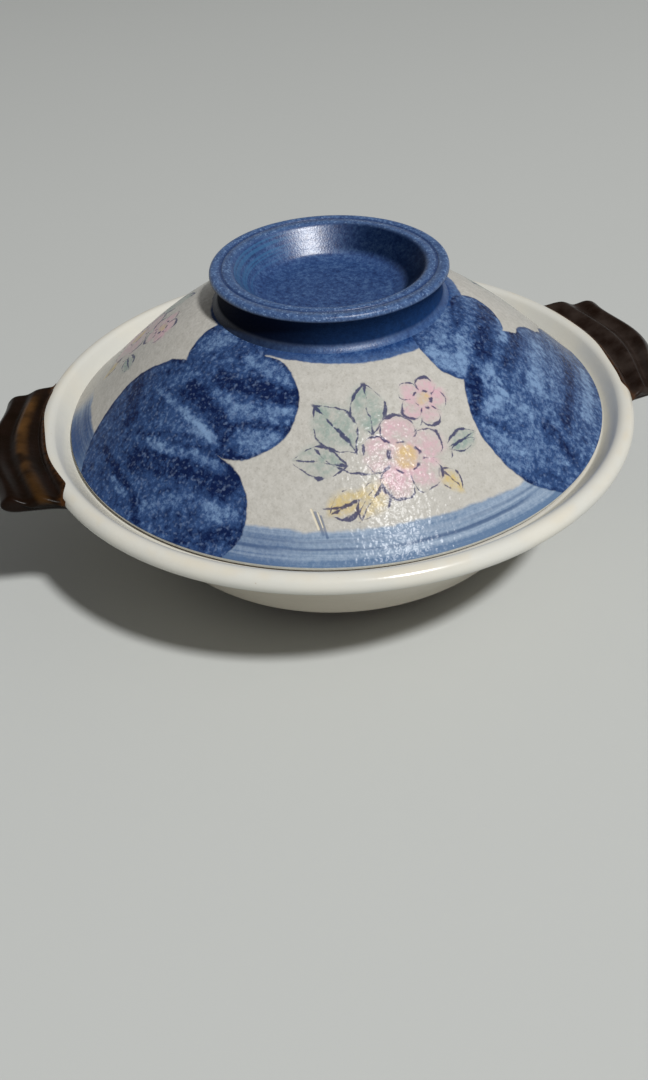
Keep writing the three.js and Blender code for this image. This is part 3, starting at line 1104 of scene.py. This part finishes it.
def painted_glaze():
    """The lid's outside: panels, band, collar and clouds, with two scars. Its inside is cream."""
    glaze = Glaze("painted_glaze")
    place = glaze.place
    wet = wander(place, 12 * MM, reach=1.8 * MM, seed=61.0)
    wet = wander(wet, 2.4 * MM, reach=0.5 * MM, seed=62.0)
    colour = sprig_colour(ground_colour(place), place)
    colour = blend(band_share(place, axis_distance(wet)), colour, band_colour(place))
    colour = collar_paint(colour, place, wet)
    colour = clouds_paint(colour, place, wet)
    shades = highest([stroke_mask(place, *shade) for shade in SCAR_SHADES])
    scars = highest([stroke_mask(place, *scar) for scar in SCARS])
    colour = blend(scars * 0.8, blend(shades * 0.6, colour, BAND_LINE), SCAR_PALE)
    inner = blend(noise(place, 20 * MM, detail=3.0, seed=63.0).rise(0.35, 0.65), CREAM_COOL, CREAM)
    colour = blend(glaze.attribute("outside"), inner, colour)
    seat = glaze.attribute("seat")
    colour = blend(seat, colour, CLAY)
    grain = noise(place, 1.9 * MM, detail=1.0, seed=64.0)
    roughness = noise(place, 5 * MM, detail=3.0, seed=66.0) * 0.14 + 0.16 + seat * 0.4
    bump = grain + noise(place, 5 * MM, seed=65.0) * 0.5 - scars * 0.6
    return glaze.finish(colour, roughness, bump, depth=0.30 * MM, shine=0.07)


# Heights where the knob's paint changes: under its ring, over its foot and in its cup
RING_PAINT = (KNOB_TOP - 2.9 * MM, KNOB_TOP - 1.4 * MM)
WALL_PAINT = (KNOB_COVE[1] + 0.2 * MM, KNOB_WAIST[1] + 0.6 * MM)
CUP_PAINT = (CUP_HIP[1] - 1 * MM, CUP_HIP[1] + 2 * MM)


def ring_paint(colour, place, radius, ring, grain):
    """Light specks and a dark groove on the knob's ring."""
    specks = noise(place, 0.9 * MM, detail=1.0, seed=87.0).rise(0.56, 0.70)
    grainy = blend(grain.ramp(0.28, 0.78), KNOB_DARK, RING_LIGHT)
    colour = blend(ring, colour, blend(specks * 0.6, grainy, RING_SPECK))
    groove = radius.near(GROOVE_RADIUS, full=0.3 * MM, none=1.1 * MM) * ring
    return blend(groove * 0.7, colour, KNOB_DARK)


def wall_paint(colour, outside, wall, grain, facing):
    """Deep navy on the knob's wall, its own blue darkened by painted shade, with painted light on the lamp's
    side and near-black painted shade on its dark side.
    """
    colour = blend(outside * grain * 0.3, colour, RING_LIGHT)
    # Painted light and shade: the wall mixes a lit and a shaded copy of its navy by the side it faces.
    lit = facing.ramp(-0.95, 0.6) * (grain * 1.3 + 0.1)
    colour = blend(wall * 0.95, colour, blend(lit, KNOB_WALL_SHADE, KNOB_WALL_PAINTED_LIT))
    # Painted shade on the knob's outside, on its side away from the lamp.
    return blend(outside * painted_shade_side(facing), colour, KNOB_WALL_SHADE)


def blue_glaze():
    """The knob: a speckled ring, a dark wall with painted light and shade, and a cup with teal streaks
    across from its side of painted shade.
    """
    glaze = Glaze("blue_glaze")
    place = glaze.place
    radius = axis_distance(place)
    height = place.part(2)
    facing = knob_facing(place, radius)
    grain = noise(place, 2.0 * MM, detail=3.0, roughness=0.8, seed=84.0)
    ring = height.rise(*RING_PAINT) * radius.rise(CUP_LIP[0], RING_INNER[0] - 1 * MM)
    colour = ring_paint(wheel_blue(place, radius, KNOB_SEED), place, radius, ring, grain)
    side = height.rise(*CUP_PAINT) * radius.rise(RING_INNER[0], CUP_LIP[0])
    brushed = streaks(place, radius + height, 2.0 * MM, turns=1.0, seed=85.0).rise(0.44, 0.60)
    teal = side * brushed * facing.rise(0.3, -0.4)
    colour = blend(teal * 0.7, colour, KNOB_TEAL)
    # Painted shade: the cup's side towards the shade bearing is darkened with the wall's navy.
    shaded = side * facing.rise(0.2, 0.85)
    colour = blend(shaded * 0.8, colour, KNOB_WALL_SHADE)
    outside = radius.rise(RING_INNER[0], RING_INNER[0] + 1 * MM) * ring.flip()
    wall = outside * height.rise(*WALL_PAINT)
    colour = wall_paint(colour, outside, wall, grain, facing)
    roughness = grain * 0.14 + 0.31 + wall * 0.3
    bump = noise(place, 0.8 * MM, detail=1.0, seed=86.0)
    dull = highest([wall, shaded, ring * 0.5, outside * 0.6])
    return glaze.finish(colour, roughness, bump, depth=0.10 * MM, shine=dull * -0.85 + 0.88)


# Pieces

def dress(thing, body, node):
    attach(thing, body)
    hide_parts(node)


def build_pot():
    brown = brown_glaze()
    dress(lathe("glazed_bowl", pot_profile(), cream_glaze(), BOWL_PHASE), "pot", "pot_body")
    dress(handle("right_lug", 1, brown), "pot", "right_handle")
    dress(handle("left_lug", -1, brown), "pot", "left_handle")


def build_lid():
    profile = lid_profile()
    dome = lathe("painted_dome", profile, painted_glaze(), LID_PHASE)
    inside_count = len(lid_inside())
    rows = np.arange(len(profile))
    outside = (rows >= inside_count).astype(float)
    on_seat = (rows < inside_count) & (profile[:, 1] < LID_SEAT + SEAT_BARE)
    for name, values in (("outside", outside), ("seat", on_seat.astype(float))):
        mark(dome, name, np.append(np.repeat(values[1:-1], ROUND_STEPS), (values[0], values[-1])))
    dress(dome, "lid", "lid_dome")
    dress(lathe("cup_knob", knob_profile(), blue_glaze(), LID_PHASE), "lid", "lid_knob")


# Studio

def floor_finish():
    glaze = Glaze("floor_grey")
    mottle = noise(glaze.place, 0.3, detail=3.0, seed=91.0)
    grain = noise(glaze.place, 0.8 * MM, seed=92.0)
    colour = blend(mottle * 0.12, FLOOR_GREY, FLOOR_SHADE)
    return glaze.finish(colour, grain * 0.1 + 0.8, grain, depth=0.01 * MM, shine=0.2)


def build_floor():
    ring = np.arange(FLOOR_STEPS) * (2 * np.pi / FLOOR_STEPS)
    corners = np.stack((FLOOR_RADIUS * np.cos(ring), FLOOR_RADIUS * np.sin(ring), 0 * ring), axis=1)
    make_mesh("studio_floor", corners, [tuple(range(FLOOR_STEPS))], floor_finish())


def build_world():
    world = bpy.data.worlds.new("studio")
    world.use_nodes = True
    tree = world.node_tree
    upward = add_node(tree, "ShaderNodeTexCoord", {}, 0).part(2)
    light = upward.rise(*WORLD_RISE) * (WORLD_HIGH - WORLD_LOW) + WORLD_LOW
    backdrop = upward.rise(*BACKDROP_RISE) * (BACKDROP_HIGH - BACKDROP_LOW) + BACKDROP_LOW
    seen = highest([add_node(tree, "ShaderNodeLightPath", {}, kind) for kind in SEEN_RAYS])
    strength = light * seen.flip() + backdrop * seen
    tree.links.new(strength.socket, tree.nodes["Background"].inputs["Strength"])
    tree.nodes["Background"].inputs["Color"].default_value = (1, 1, 1, 1)
    bpy.context.scene.world = world


def build_lamp():
    """A round lamp that looks at the middle of the pot."""
    turn = math.radians(KEY_BEARING)
    tip = math.radians(KEY_ELEVATION)
    away = Vector((math.cos(tip) * math.cos(turn), math.cos(tip) * math.sin(turn), math.sin(tip)))
    light = bpy.data.lights.new("key", "AREA")
    light.shape = "DISK"
    light.size = KEY_SIZE
    light.energy = KEY_POWER
    thing = bpy.data.objects.new("key", light)
    thing.location = away * KEY_DISTANCE + Vector((0, 0, LIP_HEIGHT))
    thing.rotation_euler = away.to_track_quat("Z", "Y").to_euler()
    bpy.context.scene.collection.objects.link(thing)


def build_camera():
    pan, tilt, roll = (math.radians(angle) for angle in (CAMERA_PAN, CAMERA_TILT, CAMERA_ROLL))
    forward = Vector((math.sin(pan) * math.cos(tilt), math.cos(pan) * math.cos(tilt), -math.sin(tilt)))
    level_right = forward.cross(Vector((0, 0, 1))).normalized()
    level_up = level_right.cross(forward)
    right = level_right * math.cos(roll) + level_up * math.sin(roll)
    up = level_up * math.cos(roll) - level_right * math.sin(roll)
    axes = Matrix((right, up, -forward)).transposed().to_4x4()
    place = Matrix.Translation((0, -CAMERA_REACH, LIP_HEIGHT + CAMERA_RISE))
    lens = bpy.data.cameras.new("photo_camera")
    lens.sensor_width = SENSOR
    lens.lens = SENSOR * FOCAL_PIXELS / max(IMAGE_SIZE)
    lens.shift_x = (IMAGE_SIZE[0] / 2 - PRINCIPAL_PIXEL[0]) / max(IMAGE_SIZE)
    lens.shift_y = (PRINCIPAL_PIXEL[1] - IMAGE_SIZE[1] / 2) / max(IMAGE_SIZE)
    camera = bpy.data.objects.new("photo_camera", lens)
    camera.matrix_world = Matrix.Rotation(math.radians(CAMERA_TURN), 4, "Z") @ place @ axes
    bpy.context.scene.collection.objects.link(camera)
    bpy.context.scene.camera = camera


bpy.context.scene.view_settings.view_transform = "Standard"
build_pot()
build_lid()
build_floor()
build_world()
build_lamp()
build_camera()
